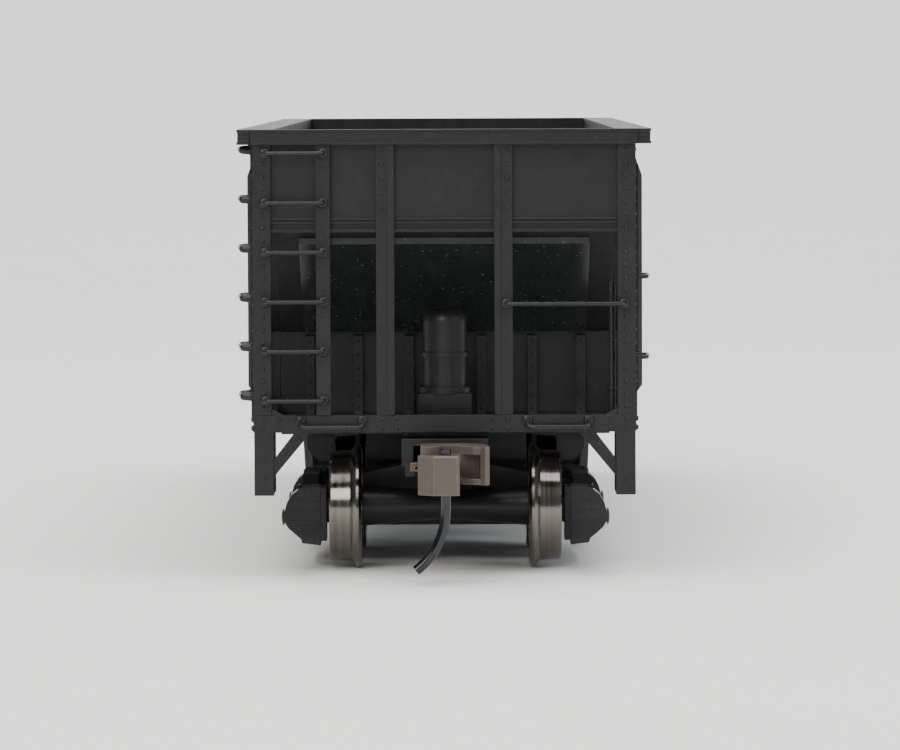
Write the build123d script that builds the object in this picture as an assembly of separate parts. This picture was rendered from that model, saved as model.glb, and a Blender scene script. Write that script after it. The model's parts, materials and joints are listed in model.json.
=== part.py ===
from build123d import *
import os
from math import cos, radians, sin, tan

# ---------------------------------------------------------------------------
# HO scale twin-bay open hopper car, in millimetres.
# z = 0 is the bottom of the wheel flanges and the car's long axis lies on Y.
# The A end points to -Y. The B end is the A end turned half a turn about Z,
# apart from the brake gear, which differs at the two ends.
# ---------------------------------------------------------------------------

# Running gear, set by 16.5 mm gauge track
TREAD_R = 4.80            # wheel radius on the tread
FLANGE_H = 0.64           # flange height, so the rail top is at z = 0.64
AXLE_Z = TREAD_R + FLANGE_H
BACK_TO_BACK = 14.56      # between the inner faces of a pair of wheels
WHEEL_W = 2.79            # wheel width over tread and flange
WHEELBASE = 19.2
TRUCK_Y = 40.9            # truck centre from the middle of the car
GAP = 0.03                # seam between two glued pieces

# Body shell
END_Y = 60.5              # outer face of the corner posts
INNER_Y = 59.15           # where the side pieces stop behind the end frame
SIDE_OUT = 15.65          # outer face of the side sheet
SIDE_IN = 14.65           # inner face of the side sheet
POST_OUT = 16.35          # outer face of the corner posts and side sills
RIB_OUT = 17.45           # outer face of the side ribs
CHORD_OUT = 17.60         # outer edge of the top chord
RIM_TOP = 38.34
RIM_BOTTOM = 37.06
SILL_TOP = 13.93
SILL_BOTTOM = 12.47
STEP_BOTTOM = 7.07
RIB_PITCH = 43.0 / 3
RIB_W = 1.7
BULKHEAD_Y = 43.0         # outer face of the bulkhead over the body bolster

# Slope sheets and hopper bays
SLOPE = radians(30)
SLOPE_START_Z = 29.64     # underside of the slope sheet where it meets the end
SHEET_T = 0.80
OUTLET_Z = 6.50           # lowest edge of the slope sheet
RIDGE_TOP = 22.3
RIDGE_FOOT_Y = 11.2
RIDGE_FOOT_Z = 13.2
CHUTE_IN = 13.70          # inner face of a chute's outer plate under the side sill
CHUTE_OUT = 14.50
CHUTE_LOW_IN = 12.40      # the same plate further down, where it has bent inward
CHUTE_LOW_OUT = 13.15
CHUTE_BEND_Z = (9.60, 12.45)
SILL_HALF = 2.20          # half width of the centre sill
PARTING = 3.05            # doors and lower slope sheets start here

# End frame
POST_IN = 14.80
CENTRE_POST_X = 5.05
CENTRE_POST_W = 1.54
END_SHEET_Y = 60.0        # outer face of the end sheet
END_SHEET_BOTTOM = 29.57

# Ladders and grab irons
WIRE_R = 0.19
RUNG_OUT = 1.0            # how far a rung stands off its post
RUNG_Z = [15.21 + 4.224 * i for i in range(6)]
SIDE_RUNG_LIFT = 0.25     # the side ladder's rungs stand a little above the end ladder's
STILE_X = (9.74, 10.94)
LADDER_DEPTH_Y = 54.6     # the side ladder's inner stile

# Couplers: pivot in the draft box, head in front of the end sill
DRAFT_HALF = 3.70
DRAFT_Z = (9.64, 11.94)
DRAFT_Y = (61.3, 52.3)
LID_T = 0.36
PIVOT_Y = 55.5
PIVOT_R = 1.20
SHANK_Z = (10.25, 11.25)
KNUCKLE_PIN = (-1.20, 66.5)
KNUCKLE_Z = (7.70, 11.05)
HEAD_Z = (8.46, 11.70)
HUB_Z = (9.00, 10.60)

# Trucks
FRAME_X = (11.20, 12.20)  # inner and outer face of a side frame
FLANGE_OUT = 12.60        # outer edge of the side frame's flanges
JOURNAL_HALF = 1.55
BOLSTER_HALF = 2.20
BOWL_TOP = 9.25
KINGPIN_R = 0.80


def block(x, y, z):
    """A box between pairs of limits on each axis."""
    low = (min(x), min(y), min(z))
    size = (abs(x[1] - x[0]), abs(y[1] - y[0]), abs(z[1] - z[0]))
    return Pos(*low) * Box(*size, align=(Align.MIN, Align.MIN, Align.MIN))


def prism_x(outline, x):
    """An outline of (y, z) points, solid between two x values."""
    face = make_face(Polyline(*[(x[0], y, z) for y, z in outline], close=True))
    return extrude(face, amount=x[1] - x[0], dir=(1, 0, 0))


def prism_y(outline, y):
    """An outline of (x, z) points, solid between two y values."""
    face = make_face(Polyline(*[(x, y[0], z) for x, z in outline], close=True))
    return extrude(face, amount=y[1] - y[0], dir=(0, 1, 0))


def prism_z(outline, z):
    """An outline of (x, y) points, solid between two z values."""
    face = make_face(Polyline(*[(x, y, z[0]) for x, y in outline], close=True))
    return extrude(face, amount=z[1] - z[0], dir=(0, 0, 1))


def rod_x(x, y, z, radius):
    bottom = (Align.CENTER, Align.CENTER, Align.MIN)
    return Pos(x[0], y, z) * Rot(0, 90, 0) * Cylinder(radius, x[1] - x[0], align=bottom)


def rod_y(x, y, z, radius):
    bottom = (Align.CENTER, Align.CENTER, Align.MIN)
    return Pos(x, y[0], z) * Rot(-90, 0, 0) * Cylinder(radius, y[1] - y[0], align=bottom)


def rod_z(x, y, z, radius):
    bottom = (Align.CENTER, Align.CENTER, Align.MIN)
    return Pos(x, y, z[0]) * Cylinder(radius, z[1] - z[0], align=bottom)


def wire(points, radius, bend):
    """Round wire along a path of straight runs with bent corners."""
    path = FilletPolyline(*points, radius=bend)
    start = Vector(*points[0])
    section = Plane(origin=start, z_dir=Vector(*points[1]) - start) * Circle(radius)
    return sweep(section, path=path)


def pair(shape):
    """The shape and its mirror image on the other side of the car."""
    return shape + mirror(shape, about=Plane.YZ)


def turned(shape):
    """The same piece at the B end of the car."""
    return Rot(0, 0, 180) * shape


def slope_z(y):
    """Underside of the A end's slope sheet at a place along the car."""
    return SLOPE_START_Z - (y + INNER_Y) * tan(SLOPE)


def slope_y(z):
    """Where the underside of the A end's slope sheet has a given height."""
    return -INNER_Y + (SLOPE_START_Z - z) / tan(SLOPE)


# --- Body shell ------------------------------------------------------------

def side():
    """The left side: sheet, top chord, side sill, ribs and corner angle legs."""
    low_end = slope_z(-BULKHEAD_Y)
    corner = SLOPE_START_Z
    sheet = prism_x([(-INNER_Y, RIM_BOTTOM), (INNER_Y, RIM_BOTTOM), (INNER_Y, corner),
                     (BULKHEAD_Y, low_end), (BULKHEAD_Y, SILL_TOP), (-BULKHEAD_Y, SILL_TOP),
                     (-BULKHEAD_Y, low_end), (-INNER_Y, corner)], (-SIDE_OUT, -SIDE_IN))
    sill = block((-POST_OUT, -SIDE_IN), (-INNER_Y, INNER_Y), (SILL_BOTTOM, SILL_TOP))
    chord = block((-CHORD_OUT, -SIDE_IN), (-INNER_Y, INNER_Y), (RIM_BOTTOM, RIM_TOP))
    chord_tips = block((-CHORD_OUT, -16.53), (-END_Y, END_Y), (RIM_BOTTOM, RIM_TOP))
    shell = sheet + sill + chord + chord_tips
    for count in range(-3, 4):
        shell += rib(count * RIB_PITCH)
    for end in (-1, 1):
        shell += block((-POST_OUT, -SIDE_OUT), (end * (INNER_Y - 1.5), end * INNER_Y),
                       (SILL_TOP, RIM_BOTTOM))
        shell += gusset_strip(end)
    return shell


def rib(y):
    """A pressed rib: full depth along its middle, tapered at the top and the foot."""
    profile = [(-SIDE_OUT, SILL_TOP), (-POST_OUT, SILL_TOP + 0.1), (-RIB_OUT, SILL_TOP + 1.6),
               (-RIB_OUT, RIM_BOTTOM - 3.0), (-POST_OUT, RIM_BOTTOM), (-SIDE_OUT, RIM_BOTTOM)]
    body = prism_y(profile, (y - RIB_W / 2, y + RIB_W / 2))
    crown = body.edges().filter_by(Axis.Z).sort_by(Axis.X)[:2]
    return chamfer(crown, 0.35)


def gusset_strip(end):
    """The angle that stiffens the side sheet's edge along the slope sheet."""
    width = 0.9
    top = (end * INNER_Y, SLOPE_START_Z)
    foot = (end * BULKHEAD_Y, slope_z(-BULKHEAD_Y))
    return prism_x([top, foot, (foot[0], foot[1] + width), (top[0], top[1] + width)],
                   (-POST_OUT, -SIDE_OUT))


def end_frame():
    """The end's rim, sheet, corner posts and centre posts."""
    rim = block((-16.5, 16.5), (-END_Y - 0.35, -INNER_Y - GAP), (RIM_BOTTOM, RIM_TOP))
    sheet = block((-POST_IN, POST_IN), (-END_SHEET_Y, -INNER_Y - GAP), (END_SHEET_BOTTOM, RIM_BOTTOM))
    foot_flange = block((-POST_IN, POST_IN), (-END_SHEET_Y - 0.35, -END_SHEET_Y),
                        (END_SHEET_BOTTOM, END_SHEET_BOTTOM + 0.25))
    frame = rim + sheet + foot_flange
    for height in (30.30, 30.62):
        frame += block((-POST_IN, POST_IN), (-END_SHEET_Y - 0.18, -END_SHEET_Y), (height, height + 0.16))
    corner_post = block((-POST_OUT, -POST_IN), (-END_Y, -INNER_Y - GAP), (SILL_TOP + GAP, RIM_BOTTOM))
    frame += pair(corner_post)
    frame += pair(centre_post())
    return frame


def centre_post():
    """An angle section standing on the end sill: a face leg and a web behind it."""
    outer = -CENTRE_POST_X - CENTRE_POST_W / 2
    inner = -CENTRE_POST_X + CENTRE_POST_W / 2
    heights = (SILL_TOP + GAP, RIM_BOTTOM)
    face = block((outer, inner), (-END_Y, -END_SHEET_Y - 0.1), heights)
    web = block((inner - 0.5, inner), (-END_SHEET_Y - 0.1, -INNER_Y - GAP), heights)
    return face + web


def end_sill():
    """The end sill with its corner gussets, sill steps and their diagonal braces."""
    face = (-END_Y, -INNER_Y - GAP)
    sill = block((-POST_OUT + 0.05, POST_OUT - 0.05), face, (SILL_BOTTOM, SILL_TOP))
    gusset = prism_y([(-POST_IN + GAP, SILL_TOP), (-POST_IN + 1.1, SILL_TOP),
                      (-POST_IN + GAP, SILL_TOP + 0.6)], (-END_Y + 0.1, -END_Y + 0.6))
    brace = prism_y([(-12.84, SILL_BOTTOM), (-11.45, SILL_BOTTOM), (-14.62, STEP_BOTTOM + 1.6),
                     (-14.62, STEP_BOTTOM + 3.1)], (-END_Y + 0.15, -END_Y + 0.65))
    return sill + pair(gusset + brace + sill_step())


def sill_step():
    """A flat strap bent into a step: a leg at the corner, a tread and a rear leg."""
    strap = 0.5
    rear_y = -54.3
    width = (-16.3, -14.65)
    front_leg = block(width, (-END_Y, -END_Y + strap + 0.1), (STEP_BOTTOM, SILL_BOTTOM))
    tread = block(width, (-END_Y, rear_y), (STEP_BOTTOM, STEP_BOTTOM + strap))
    rear_leg = block(width, (rear_y - strap, rear_y), (STEP_BOTTOM, SILL_BOTTOM - GAP))
    return front_leg + tread + rear_leg


# --- Slope sheets, bays and weights ---------------------------------------

def slope_sheet():
    """The sloping floor at one end; its lower part narrows to fit between the chutes."""
    lift = SHEET_T / cos(SLOPE)
    split_y = slope_y(SILL_TOP)
    end_y = slope_y(OUTLET_Z)
    upper = prism_x([(-INNER_Y, slope_z(-INNER_Y)), (split_y, slope_z(split_y)),
                     (split_y, slope_z(split_y) + lift), (-INNER_Y, slope_z(-INNER_Y) + lift)],
                    (-SIDE_IN + GAP, SIDE_IN - GAP))
    lower = prism_x([(split_y, slope_z(split_y)), (end_y, OUTLET_Z),
                     (end_y + SHEET_T * sin(SLOPE), OUTLET_Z + SHEET_T * cos(SLOPE)),
                     (split_y, slope_z(split_y) + lift)], (-CHUTE_IN, CHUTE_IN)) & between_chutes()
    sill_slot = block((-PARTING, PARTING), (split_y - 4, end_y + 4), (OUTLET_Z - 2, 12.6))
    return upper + lower - sill_slot


def chute_wall(upper, lower):
    """One line of a chute's outer plate from the side sill down, as (x, z) points."""
    return [(upper, SILL_TOP + 1), (upper, CHUTE_BEND_Z[1]), (lower, CHUTE_BEND_Z[0]), (lower, 4.0)]


def between_chutes():
    """The space between the two outer plates, which the sheet and the doors fill."""
    left = chute_wall(-CHUTE_IN + GAP, -CHUTE_LOW_IN + GAP)
    right = [(-x, z) for x, z in reversed(left)]
    return prism_y(left + right, (-45, -5))


def cross_ridge():
    """The ridge between the bays, which sheds the load to both sides."""
    outline = [(-RIDGE_FOOT_Y, RIDGE_FOOT_Z + 0.2), (0, RIDGE_TOP - 1.0), (RIDGE_FOOT_Y, RIDGE_FOOT_Z + 0.2),
               (RIDGE_FOOT_Y, RIDGE_FOOT_Z + 1.2), (0, RIDGE_TOP), (-RIDGE_FOOT_Y, RIDGE_FOOT_Z + 1.2)]
    return prism_x(outline, (-SIDE_IN + GAP, SIDE_IN - GAP))


def hopper_bay():
    """One bay's two chutes and the hood that covers the centre sill between them."""
    end_y = slope_y(OUTLET_Z)
    plate = [(slope_y(SILL_TOP), SILL_TOP - 0.6), (end_y - 0.3, OUTLET_Z - 0.5),
             (end_y + 1.3, OUTLET_Z - 0.5), (-11.3, RIDGE_FOOT_Z - 0.4), (-11.3, SILL_TOP)]
    outline = plate + [(slope_y(SILL_TOP), SILL_TOP)]
    section = chute_wall(-CHUTE_OUT, -CHUTE_LOW_OUT) + chute_wall(-CHUTE_IN, -CHUTE_LOW_IN)[::-1]
    outer = prism_x(outline, (-CHUTE_OUT, -CHUTE_LOW_IN)) & prism_y(section, (-45, -5))
    low_plate = [(slope_y(12.3), 11.6), (end_y - 0.3, OUTLET_Z - 0.5), (end_y + 1.3, OUTLET_Z - 0.5),
                 (-11.3, RIDGE_FOOT_Z - 0.4), (slope_y(12.3), 12.3)]
    inner = prism_x(low_plate, (-PARTING + GAP, -SILL_HALF - GAP))
    lip = prism_x([(end_y - 0.3, OUTLET_Z - 0.5), (end_y - 0.9, OUTLET_Z - 0.1),
                   (end_y - 0.3, OUTLET_Z - 0.05), (end_y + 0.2, OUTLET_Z - 0.35)],
                  (-CHUTE_LOW_OUT, -SILL_HALF - GAP))
    hinge_bar = block((-CHUTE_OUT, -SILL_HALF - GAP), (-11.1, -10.3), (RIDGE_FOOT_Z - 0.9, RIDGE_FOOT_Z - 0.1))
    hinge_ears = block((-CHUTE_OUT, -CHUTE_IN), (-11.4, -10.3), (RIDGE_FOOT_Z - 0.9, RIDGE_FOOT_Z + 0.1))
    inner_ear = block((-PARTING + GAP, -SILL_HALF - GAP), (-11.9, -10.3),
                      (RIDGE_FOOT_Z - 0.9, RIDGE_FOOT_Z - 0.1))
    chutes = pair(outer + inner + lip + hinge_bar + hinge_ears + inner_ear)
    return chutes + sill_hood()


def sill_hood():
    """The inverted V over the centre sill, cut to lie on the slope sheet and the ridge."""
    outer = [(-PARTING, 12.64), (0, 16.0), (PARTING, 12.64)]
    inner = [(-PARTING + 1.0, 12.60), (0, 14.8), (PARTING - 1.0, 12.60)]
    length = (-35.0, -4.0)
    hood = prism_y(outer, length) - prism_y(inner, length)
    lift = SHEET_T / cos(SLOPE) + GAP
    below_slope = prism_x([(-50, slope_z(-50) + lift), (-15, slope_z(-15) + lift), (-50, slope_z(-15))], (-5, 5))
    run = (RIDGE_TOP - RIDGE_FOOT_Z - 1.2) / RIDGE_FOOT_Y
    below_ridge = prism_x([(-RIDGE_FOOT_Y - 5, RIDGE_FOOT_Z + 1.2 - 5 * run + GAP), (0, RIDGE_TOP + GAP),
                           (0, 0)], (-5, 5))
    return hood - below_slope - below_ridge


def doors():
    """One bay's pair of outlet doors, each a ribbed plate closed against the slope sheet."""
    end_y = slope_y(OUTLET_Z)
    foot = Vector(0, end_y + 0.74, OUTLET_Z - 0.05)
    head = Vector(0, -RIDGE_FOOT_Y - 0.09, RIDGE_FOOT_Z - 0.03)
    along = (head - foot).normalized()
    inward = Vector(0, -along.Z, along.Y)

    def slab(start, stop, depth):
        corners = [foot + along * start, foot + along * stop]
        corners += [corners[1] + inward * depth, corners[0] + inward * depth]
        return [(point.Y, point.Z) for point in corners]

    length = (head - foot).length
    door = prism_x(slab(0, length, 0.6), (-CHUTE_IN, -PARTING)) & between_chutes()
    for x in (-11.8, -9.3, -6.8, -4.3):
        door += prism_x(slab(0.8, length - 0.6, -0.35), (x - 0.25, x + 0.25))
    door += prism_x(slab(0.3, 0.9, -0.5), (-CHUTE_LOW_IN + 0.4, -PARTING - 0.4))
    return pair(door)


def weight():
    """The flat steel weight held against the underside of the slope sheet."""
    low = (-BULKHEAD_Y - 1.1, slope_z(-BULKHEAD_Y - 1.1) - 0.04)
    high = (-INNER_Y + 0.9, slope_z(-INNER_Y + 0.9) - 0.04)
    drop = 0.5 / cos(SLOPE)
    return prism_x([low, high, (high[0], high[1] - drop), (low[0], low[1] - drop)], (-12.45, 12.45))


# --- Underframe ------------------------------------------------------------

def underframe():
    """Centre sill with a body bolster, a centre plate and a draft sill at each end."""
    frame = block((-SILL_HALF, SILL_HALF), (-DRAFT_Y[1] + 0.1, DRAFT_Y[1] - 0.1), (9.70, 12.20))
    for end in (-1, 1):
        centre = end * TRUCK_Y
        frame += block((-SIDE_IN + 0.1, SIDE_IN - 0.1), (centre - 2.6, centre + 2.6), (11.20, 12.45))
        frame += rod_z(0, centre, (BOWL_TOP + 0.1, 11.3), 2.6)
        bearing = prism_y([(-9.9, 8.75), (-11.3, 8.75), (-12.3, 9.9), (-12.3, 11.3), (-9.9, 11.3)],
                          (centre - 1.8, centre + 1.8))
        frame += pair(bearing)
        frame += block((-3.4, 3.4), (end * (DRAFT_Y[1] - 0.1), end * INNER_Y), (11.97, 12.45))
        frame += block((-SILL_HALF, SILL_HALF), (end * (DRAFT_Y[1] - 0.4), end * (DRAFT_Y[1] - 2.0)),
                       (11.6, 12.45))
        frame += block((-3.4, 3.4), (end * (INNER_Y - 0.6), end * INNER_Y), (12.40, SILL_TOP - 0.4))
    for end in (-1, 1):
        frame -= rod_z(0, end * TRUCK_Y, (BOWL_TOP, 12.0), KINGPIN_R + 0.02)
        frame -= rod_z(0, end * PIVOT_Y, (11.9, 12.3), 0.47)
    return frame


def bolster_bulkhead():
    """The upright web over the body bolster with its vertical stiffeners."""
    foot = 12.45 + GAP
    clear = 0.04
    inner_y = -BULKHEAD_Y + SHEET_T
    web = prism_x([(-BULKHEAD_Y, foot), (inner_y, foot), (inner_y, slope_z(inner_y) - clear),
                   (-BULKHEAD_Y, slope_z(-BULKHEAD_Y) - clear)], (-SIDE_IN + GAP, SIDE_IN - GAP))
    front_y = -BULKHEAD_Y - 0.8
    for x in (12.0, 7.7, 3.2):
        rib_top = slope_z(-BULKHEAD_Y) - clear - 0.35
        web += pair(block((-x - 0.4, -x + 0.4), (front_y, -BULKHEAD_Y), (foot, rib_top)))
    web += block((-SIDE_IN + GAP, SIDE_IN - GAP), (front_y, -BULKHEAD_Y), (foot, foot + 0.5))
    return web


# --- Ladders and grab irons ------------------------------------------------

def grab(start, stop, normal, reach, drop=0.0):
    """A bent wire iron between two fixing points, with a bolt plate at each foot."""
    start = Vector(*start)
    stop = Vector(*stop)
    normal = Vector(*normal)
    out = normal * reach - Vector(0, 0, drop)
    lift = normal * 0.14
    points = [start + lift, start + out, stop + out, stop + lift]
    iron = wire([(p.X, p.Y, p.Z) for p in points], WIRE_R, 0.35)
    plate = 0.24
    for foot in (start, stop):
        seat = Plane(origin=foot, z_dir=normal)
        iron += seat * Pos(0, 0, plate / 2) * Box(0.8, 0.8, plate)
    return iron


def end_ladder():
    """A stile beside the corner post, with rungs from the post to the stile."""
    front = -END_Y - 0.25
    ladder = block((-STILE_X[1], -STILE_X[0]), (front, -END_SHEET_Y - 0.38), (SILL_TOP + GAP, RIM_BOTTOM - GAP))
    stile_x = -(STILE_X[0] + STILE_X[1]) / 2
    for z in RUNG_Z:
        ladder += rung_between((-15.3, -END_Y - GAP, z), (stile_x, front, z))
    return ladder


def rung_between(post_foot, stile_foot):
    """An end rung: one foot on the corner post, the other on the stile."""
    bar_y = -END_Y - RUNG_OUT
    points = [post_foot, (post_foot[0], bar_y, post_foot[2]), (stile_foot[0], bar_y, stile_foot[2]), stile_foot]
    rung = wire(points, WIRE_R, 0.35)
    for foot in (post_foot, stile_foot):
        rung += block((foot[0] - 0.4, foot[0] + 0.4), (foot[1] - 0.25, foot[1]), (foot[2] - 0.4, foot[2] + 0.4))
    return rung


def side_ladder():
    """The ladder on the left side at the A end: an inner stile and its rungs."""
    face_x = -POST_OUT - GAP
    outer_y = -INNER_Y + 0.7
    ladder = block((face_x - 0.35, face_x), (-LADDER_DEPTH_Y - 0.5, -LADDER_DEPTH_Y + 0.5),
                   (SILL_TOP - 0.6, RIM_BOTTOM - GAP))
    foot_pad = block((face_x, -SIDE_OUT - GAP), (-LADDER_DEPTH_Y - 0.5, -LADDER_DEPTH_Y + 0.5),
                     (RIM_BOTTOM - 3.0, RIM_BOTTOM - GAP))
    ladder += foot_pad
    for z in RUNG_Z:
        height = z + SIDE_RUNG_LIFT
        ladder += grab((face_x, outer_y, height), (face_x - 0.3, -LADDER_DEPTH_Y, height), (-1, 0, 0), RUNG_OUT)
    return ladder


def grab_irons():
    """One end's grab irons: two on the sill, a wide one on the posts and two on the side."""
    face_y = -END_Y - GAP
    irons = pair(grab((-12.3, face_y, 13.5), (-7.05, face_y, 13.5), (0, -1, 0), 0.85, drop=0.55))
    irons += grab((5.25, face_y, 23.44), (15.3, face_y, 23.44), (0, -1, 0), 0.9)
    post_x = POST_OUT + GAP
    for z in (18.74, 25.64):
        irons += grab((post_x, -INNER_Y + 0.7, z), (post_x + 0.2, -LADDER_DEPTH_Y, z), (1, 0, 0), 0.95)
    return irons + grab_strap()


def grab_strap():
    """The upright strap that carries the inner feet of the two side grab irons."""
    y = (-LADDER_DEPTH_Y - 0.45, -LADDER_DEPTH_Y + 0.45)
    face_x = POST_OUT + GAP
    strap = block((face_x, face_x + 0.25), y, (SILL_TOP - 0.6, SLOPE_START_Z + 1.6))
    pad = block((SIDE_OUT + GAP, face_x), y, (SLOPE_START_Z - 0.4, SLOPE_START_Z + 1.6))
    return strap + pad


# --- Brake gear ------------------------------------------------------------

def brake_cylinder():
    """The upright cylinder with a domed top, on its stand over the draft sill."""
    y = -53.5
    radius = 1.9
    stand = block((-2.3, 2.3), (y - 2.0, y + 2.0), (12.45 + GAP, 15.45))
    foot = rod_z(0, y, (15.4, 16.0), radius + 0.35)
    barrel = rod_z(0, y, (15.9, 21.6), radius)
    flange = rod_z(0, y, (18.6, 19.0), radius + 0.2)
    dome = fillet(rod_z(0, y, (21.2, 22.7), radius).edges().sort_by(Axis.Z)[-1], 1.0)
    return stand + foot + barrel + flange + dome


def air_reservoir():
    """The cross-mounted reservoir and its cradle under the B end's slope sheet."""
    y = 53.2
    z = 16.6
    tank = rod_x((-6.0, 3.0), y, z, 2.0)
    tank = fillet(tank.edges(), 0.8)
    bands = rod_x((-4.4, -3.8), y, z, 2.12) + rod_x((0.8, 1.4), y, z, 2.12)
    cradle = block((-3.2, 2.6), (y - 1.5, y + 1.5), (12.45 + GAP, 14.8))
    return tank + bands + cradle


def control_valve():
    """The valve body on its bracket beside the reservoir."""
    y = 53.2
    bracket = block((3.9, 4.5), (y - 1.0, y + 1.0), (12.45 + GAP, 15.4))
    foot = block((2.8, 4.5), (y - 1.0, y + 1.0), (12.45 + GAP, 13.0))
    body = block((4.4, 6.4), (y - 0.9, y + 0.9), (13.6, 17.0))
    drum = rod_x((6.3, 7.2), y, 15.4, 0.8)
    cap = rod_y(5.4, (y + 0.8, y + 1.7), 14.8, 0.7)
    return bracket + foot + body + drum + cap


def brake_rods():
    """The pipe up the A end's corner post and the hand-brake rod down the B end."""
    retainer = rod_z(14.35, -END_Y + 1.9, (SILL_TOP - 0.6, 25.3), 0.26)
    foot = block((3.42, 14.6), (-END_Y + 1.6, -END_Y + 2.2), (12.6, SILL_TOP - 0.5))
    hand_rod = rod_z(0, END_Y + 0.55, (14.6, 30.8), 0.28)
    crank = block((-0.9, 0.9), (END_Y + 0.2, END_Y + 0.9), (SILL_TOP - 0.8, SILL_TOP + 0.8))
    seat = block((-0.9, 0.9), (END_Y + GAP, END_Y + 0.25), (SILL_TOP - 1.3, SILL_TOP + 0.8))
    return retainer + foot + hand_rod + crank + seat


BRAKE_Z = 32.6
BRAKE_WHEEL_Y = 63.1
BRAKE_WHEEL_R = 3.2


def brake_housing():
    """The hand-brake gear case on the B end sheet, with the shaft for the wheel."""
    case = block((-1.7, 1.7), (END_SHEET_Y + GAP, 61.9), (30.85, 34.9))
    case = fillet(case.edges().filter_by(Axis.Y), 0.6)
    bulge = rod_y(0, (61.8, 62.4), BRAKE_Z, 1.3)
    shaft = rod_y(0, (62.3, 63.9), BRAKE_Z, 0.30)
    return case + bulge + shaft


def brake_wheel():
    """A spoked hand wheel with a plain bore that runs on the housing's shaft."""
    rim = Pos(0, BRAKE_WHEEL_Y, BRAKE_Z) * Rot(90, 0, 0) * Torus(BRAKE_WHEEL_R - 0.25, 0.25)
    hub = rod_y(0, (BRAKE_WHEEL_Y - 0.35, BRAKE_WHEEL_Y + 0.4), BRAKE_Z, 0.75)
    wheel = rim + hub
    spokes = 5
    for count in range(spokes):
        spoke = rod_z(0, BRAKE_WHEEL_Y, (0.5, BRAKE_WHEEL_R - 0.2), 0.17)
        turn = Pos(0, 0, BRAKE_Z) * Rot(0, count * 360 / spokes, 0)
        wheel += turn * spoke
    return wheel - rod_y(0, (BRAKE_WHEEL_Y - 1, BRAKE_WHEEL_Y + 1), BRAKE_Z, 0.36)


# --- Draft boxes and couplers ---------------------------------------------

def draft_box():
    """The box around the coupler's tail, open in front and below, with a hollow pivot post."""
    front, rear = -DRAFT_Y[0], -DRAFT_Y[1]
    floor = DRAFT_Z[0] + LID_T + GAP
    wall = 0.7
    shell = block((-DRAFT_HALF, DRAFT_HALF), (front, rear), (floor, DRAFT_Z[1]))
    shell -= block((-DRAFT_HALF + wall, DRAFT_HALF - wall), (front + 0.5, rear - wall), (floor - 1, 11.50))
    shell -= block((-2.7, 2.7), (front - 1, front + 1), (floor - 1, 11.50))
    shell += rod_z(0, -PIVOT_Y, (floor, 11.6), PIVOT_R)
    return shell - rod_z(0, -PIVOT_Y, (floor - 1, DRAFT_Z[1] + 1), 0.47)


def draft_lid():
    """The flat lid under the draft box, with an ear at each front corner and a screw hole."""
    lid = block((-DRAFT_HALF, DRAFT_HALF), (-DRAFT_Y[0], -DRAFT_Y[1]), (DRAFT_Z[0], DRAFT_Z[0] + LID_T))
    lid += pair(block((-3.4, -2.6), (-DRAFT_Y[0], -DRAFT_Y[0] + 0.6), (8.75, DRAFT_Z[0])))
    return lid - rod_z(0, -PIVOT_Y, (DRAFT_Z[0] - 1, DRAFT_Z[1]), 0.47)


def centring_spring():
    """The leaf above the shank, with a lip bent down along each wall of the box."""
    y = (-DRAFT_Y[0] + 1.0, -PIVOT_Y - 1.6)
    leaf = block((-2.9, 2.9), y, (11.32, 11.47))
    lip = block((-2.9, -2.75), y, (SHANK_Z[0], 11.4))
    return leaf + pair(lip)


def coupler():
    """Shank and head in one casting: pivot ring, neck, ears for the knuckle and guard arm."""
    ring = rod_z(0, -PIVOT_Y, SHANK_Z, 2.05)
    shank = block((-1.0, 1.0), (-63.4, -PIVOT_Y), SHANK_Z)
    body = ring + shank - rod_z(0, -PIVOT_Y, (9, 13), PIVOT_R + 0.05)
    back = prism_z([(-1.4, -62.9), (1.6, -62.9), (3.3, -64.0), (3.4, -65.1), (-2.05, -65.1), (-2.05, -63.6)],
                   HEAD_Z)
    body += back
    body += guard_arm()
    body += knuckle_ears()
    lug = block((-2.95, -2.0), (-63.6, -63.1 + 0.1), (9.35, 10.05))
    return body + lug


def guard_arm():
    """The arm opposite the knuckle, joined to the head by a top and a bottom plate."""
    low, high = HEAD_Z
    arm = prism_z([(2.9, -64.5), (3.4, -64.5), (3.77, -67.6), (3.45, -67.9), (3.0, -67.5)], HEAD_Z)
    plan = [(1.38, -64.9), (3.2, -64.9), (3.2, -67.5), (2.4, -67.2), (1.38, -66.6)]
    return arm + prism_z(plan, (low, low + 0.5)) + prism_z(plan, (high - 0.7, high))


def knuckle_ears():
    """Two ears above and below the knuckle's hub, and the pin through them."""
    x, forward = KNUCKLE_PIN
    ears = None
    for heights in ((HEAD_Z[0], HUB_Z[0] - 0.08), (HUB_Z[1] + 0.08, HEAD_Z[1])):
        ear = rod_z(x, -forward, heights, 0.85) + block((x - 0.85, x + 0.85), (-forward, -64.9), heights)
        ears = ear if ears is None else ears + ear
    return ears + rod_z(x, -forward, (HEAD_Z[0], HEAD_Z[1]), 0.38)


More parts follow.
